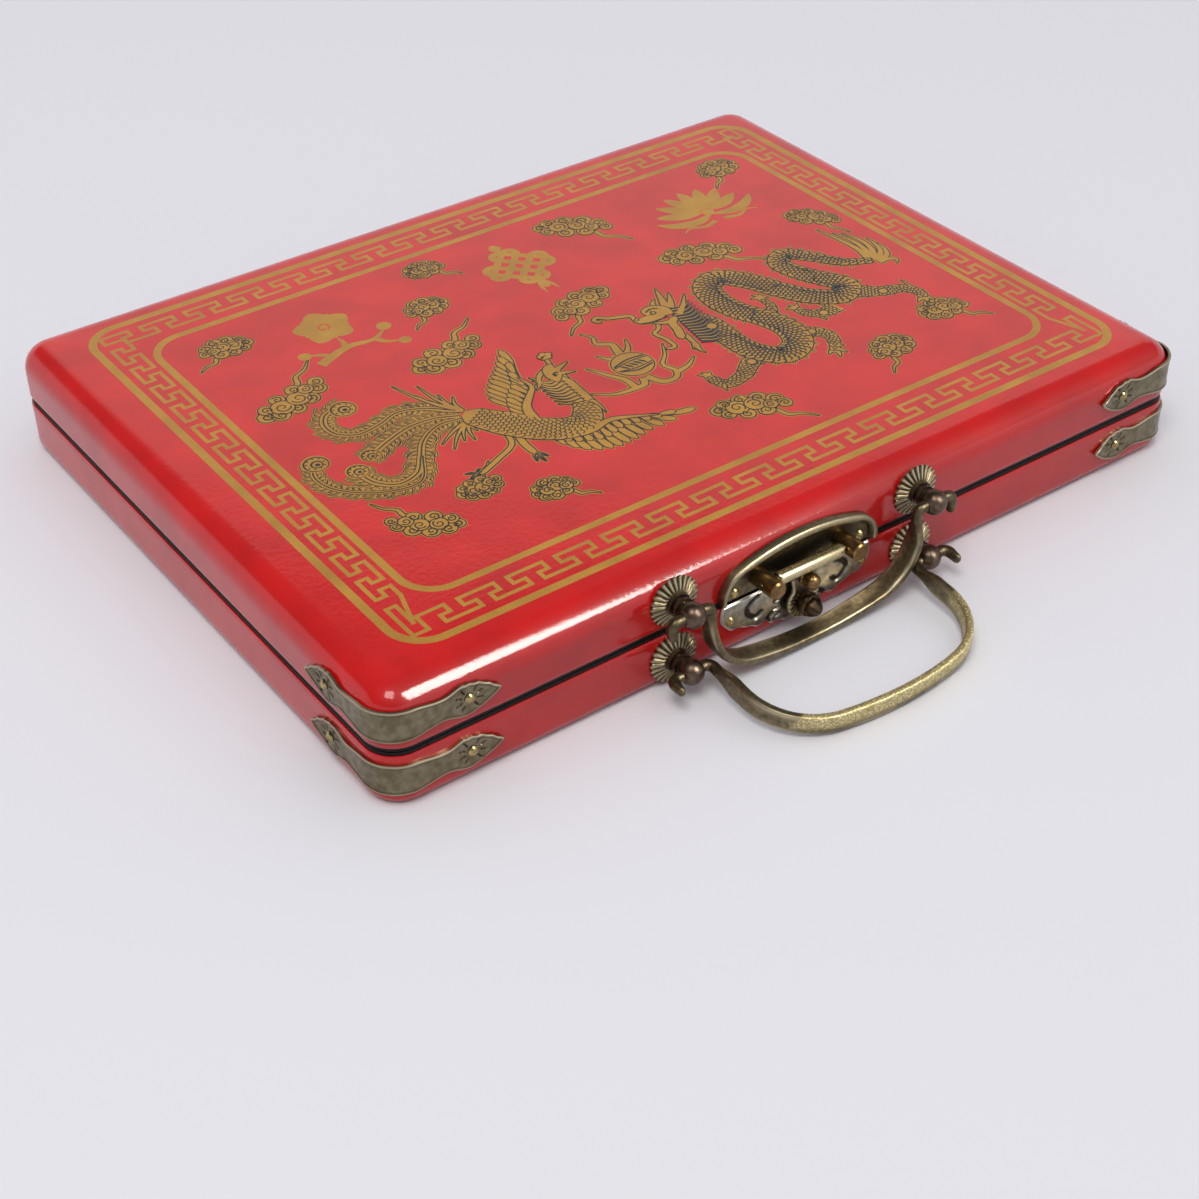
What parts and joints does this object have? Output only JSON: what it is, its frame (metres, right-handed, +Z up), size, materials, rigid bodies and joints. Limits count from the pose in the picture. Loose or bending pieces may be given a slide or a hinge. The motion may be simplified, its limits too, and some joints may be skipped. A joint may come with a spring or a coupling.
{
  "type": "mahjong case",
  "caption": "Shallow two-part travel game case with rounded corners, divided tray, swinging handles, hinged latch tongue and corner straps.",
  "frame": {"origin": "centre of the flat underside", "axes": "+X to the right along the front, -Y towards the front with the handles and the latch, +Z up through the lid"},
  "size_m": [0.243, 0.2248, 0.0303],
  "materials": {
    "red_leatherette": "glossy red lacquered leatherette with a gold print on the lid",
    "black_leatherette": "matte black",
    "wood_board": "plain sanded board, covered outside",
    "divider_board": "black painted board",
    "black_flock_lining": "black flock",
    "antique_brass": "aged brass with brighter worn edges",
    "latch_plate_brass": "smooth lacquered antique brass",
    "bright_brass": "polished brass",
    "bronze": "coppery bronze",
    "plated_steel": "nickel plated"
  },
  "bodies": {
    "base": {"base_corner_strap_left": "antique_brass", "base_corner_strap_right": "antique_brass", "base_floor_board": "wood_board", "base_handle_nuts": "plated_steel", "base_handle_post_left": "antique_brass", "base_handle_post_right": "antique_brass", "base_handle_washers": "plated_steel", "base_hinge_leaf_left": "antique_brass", "base_hinge_leaf_right": "antique_brass", "base_hinge_nails": "bright_brass", "base_leatherette": "red_leatherette", "base_lining": "black_flock_lining", "base_rim_edging": "black_leatherette", "base_rosette_left": "antique_brass", "base_rosette_right": "antique_brass", "base_side_frame": "wood_board", "base_strap_pins": "bright_brass", "cross_divider": "divider_board", "hinge_pin_left": "antique_brass", "hinge_pin_right": "antique_brass", "latch_lower_pins": "bright_brass", "latch_lower_plate": "latch_plate_brass", "long_divider": "divider_board", "underside_sheet": "black_leatherette"},
    "lid": {"latch_post_left": "bronze", "latch_post_right": "bronze", "latch_rod": "bright_brass", "latch_upper_pins": "bright_brass", "latch_upper_plate": "latch_plate_brass", "lid_corner_strap_left": "antique_brass", "lid_corner_strap_right": "antique_brass", "lid_handle_nuts": "plated_steel", "lid_handle_post_left": "antique_brass", "lid_handle_post_right": "antique_brass", "lid_handle_washers": "plated_steel", "lid_hinge_leaf_left": "antique_brass", "lid_hinge_leaf_right": "antique_brass", "lid_hinge_nails": "bright_brass", "lid_leatherette": "red_leatherette", "lid_lining": "black_flock_lining", "lid_rim_edging": "black_leatherette", "lid_rosette_left": "antique_brass", "lid_rosette_right": "antique_brass", "lid_side_frame": "wood_board", "lid_strap_pins": "bright_brass", "lid_top_board": "wood_board"},
    "lid_bail": {"lid_handle_bail": "antique_brass"},
    "base_bail": {"base_handle_bail": "antique_brass"},
    "latch_tongue": {"latch_tongue": "antique_brass", "latch_dome_knob": "antique_brass", "latch_acorn_knob": "antique_brass"}
  },
  "joints": [
    {"name": "lid_hinge", "type": "hinge", "parent": "base", "child": "lid", "pos_m": [0, 0.0929, 0.01515], "axis": [-1, 0, 0], "range_deg": [0, 180]},
    {"name": "lid_handle_swing", "type": "hinge", "parent": "lid", "child": "lid_bail", "pos_m": [-0.0085, -0.098, 0.02315], "axis": [-1, 0, 0], "range_deg": [0, 180]},
    {"name": "base_handle_swing", "type": "hinge", "parent": "base", "child": "base_bail", "pos_m": [-0.0085, -0.098, 0.00715], "axis": [-1, 0, 0], "range_deg": [-82, 15]},
    {"name": "latch_tongue_swing", "type": "hinge", "parent": "lid", "child": "latch_tongue", "pos_m": [-0.0085, -0.0955, 0.0196], "axis": [-1, 0, 0], "range_deg": [0, 150]}
  ]
}
